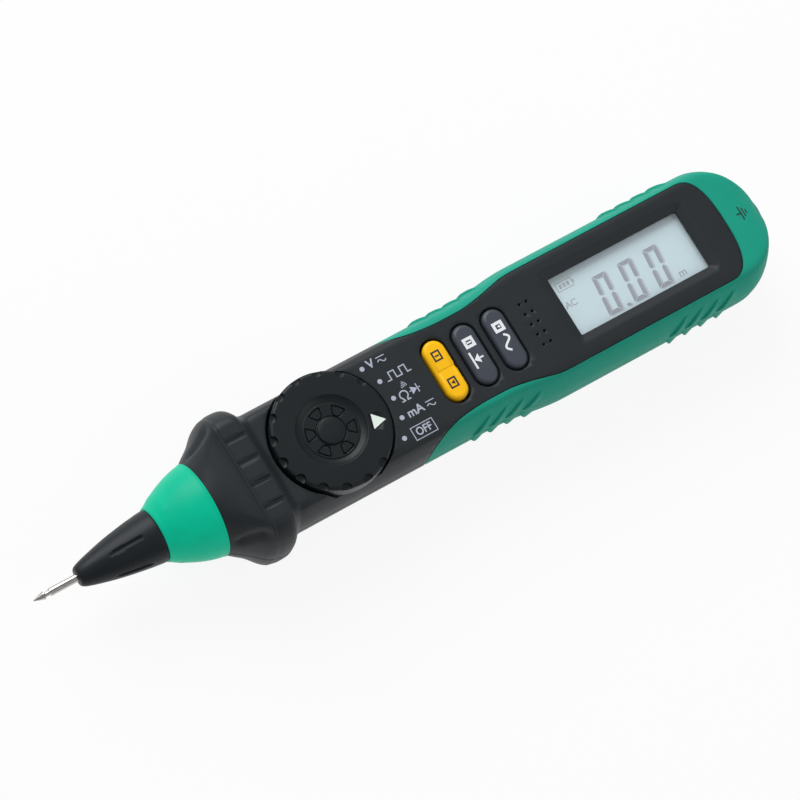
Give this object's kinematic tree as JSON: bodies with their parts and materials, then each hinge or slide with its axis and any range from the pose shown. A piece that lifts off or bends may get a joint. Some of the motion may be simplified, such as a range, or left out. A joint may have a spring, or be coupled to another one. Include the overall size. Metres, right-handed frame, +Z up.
{
  "type": "pen multimeter",
  "caption": "Pen-shaped digital multimeter with a needle probe, light ring, finger guard, rotary dial, push keys, LCD and a rear COM socket.",
  "frame": {"origin": "bottom centre of the whole meter as it lies on its back", "axes": "+X from the needle towards the COM socket, +Z up out of the face"},
  "size_m": [0.208, 0.038, 0.029],
  "materials": {
    "nickel": "bright nickel plate",
    "brass": "bare turned brass",
    "black_rubber": "soft satin black",
    "ring_green": "glossy translucent green",
    "board_green": "solder mask",
    "led_clear": "clear epoxy",
    "black_plastic": "satin moulded plastic",
    "grip_green": "satin soft-touch green",
    "knob_black": "satin moulded plastic",
    "pointer_white": "white insert",
    "white_plastic": "natural acetal",
    "steel": "zinc-plated steel",
    "key_yellow": "satin yellow",
    "key_grey": "satin dark grey",
    "silicone_grey": "silicone rubber",
    "silicone_pink": "silicone rubber",
    "clear_lens": "clear acrylic",
    "lcd_grey": "reflective LCD glass",
    "chip_black": "moulded epoxy",
    "fuse_glass": "glass tube with metal caps",
    "cell_jacket": "printed cell jacket",
    "socket_black": "glossy black insulator"
  },
  "bodies": {
    "meter": {"probe_needle": "nickel", "needle_socket": "brass", "nose_cone": "black_rubber", "light_ring": "ring_green", "led_board": "board_green", "logic_leds": "led_clear", "probe_strip": "brass", "front_housing": "black_plastic", "rear_housing": "black_plastic", "front_grip": "grip_green", "rear_grip": "grip_green", "detent_ring": "white_plastic", "keypad_sheet": "silicone_grey", "rocker_domes": "silicone_grey", "max_dome": "silicone_grey", "func_dome": "silicone_grey", "window_lens": "clear_lens", "lcd_glass": "lcd_grey", "lcd_frame": "white_plastic", "zebra_strip": "silicone_pink", "circuit_board": "board_green", "meter_chip": "chip_black", "buzzer": "chip_black", "fuse": "fuse_glass", "fuse_clips": "brass", "batteries": "cell_jacket", "battery_springs": "steel", "battery_plates": "steel", "housing_screws": "steel", "board_screws": "steel", "jack_body": "socket_black", "com_jack": "brass", "com_strip": "brass"},
    "dial": {"selector_knob": "knob_black", "knob_pointer": "pointer_white", "wiper_disc": "white_plastic", "wiper_contacts": "brass", "detent_balls": "steel", "detent_springs": "steel"},
    "rocker": {"rocker_key": "key_yellow"},
    "max_button": {"max_key": "key_grey"},
    "func_button": {"func_key": "key_grey"},
    "cover": {"battery_cover": "black_plastic", "cover_screw": "steel"}
  },
  "joints": [
    {"name": "dial_turn", "type": "hinge", "parent": "meter", "child": "dial", "pos_m": [-0.0232, 0, 0.0245], "axis": [0, 0, 1], "range_deg": [-16.7, 50.1]},
    {"name": "rocker_tilt", "type": "hinge", "parent": "meter", "child": "rocker", "pos_m": [0.0096, 0, 0.0207], "axis": [1, 0, 0], "range_deg": [-3.5, 3.5], "stiffness_Nm_per_rad": 0.04, "deforming": ["rocker_domes"]},
    {"name": "max_press", "type": "slide", "parent": "meter", "child": "max_button", "axis": [0, 0, -1], "range_m": [0, 0.0008], "stiffness_N_per_m": 1000, "springref_m": -0.0003, "deforming": ["max_dome"]},
    {"name": "func_press", "type": "slide", "parent": "meter", "child": "func_button", "axis": [0, 0, -1], "range_m": [0, 0.0008], "stiffness_N_per_m": 1000, "springref_m": -0.0003, "deforming": ["func_dome"]},
    {"name": "cover_lift", "type": "slide", "parent": "meter", "child": "cover", "axis": [0, 0, -1], "range_m": [0, 0.012]}
  ]
}
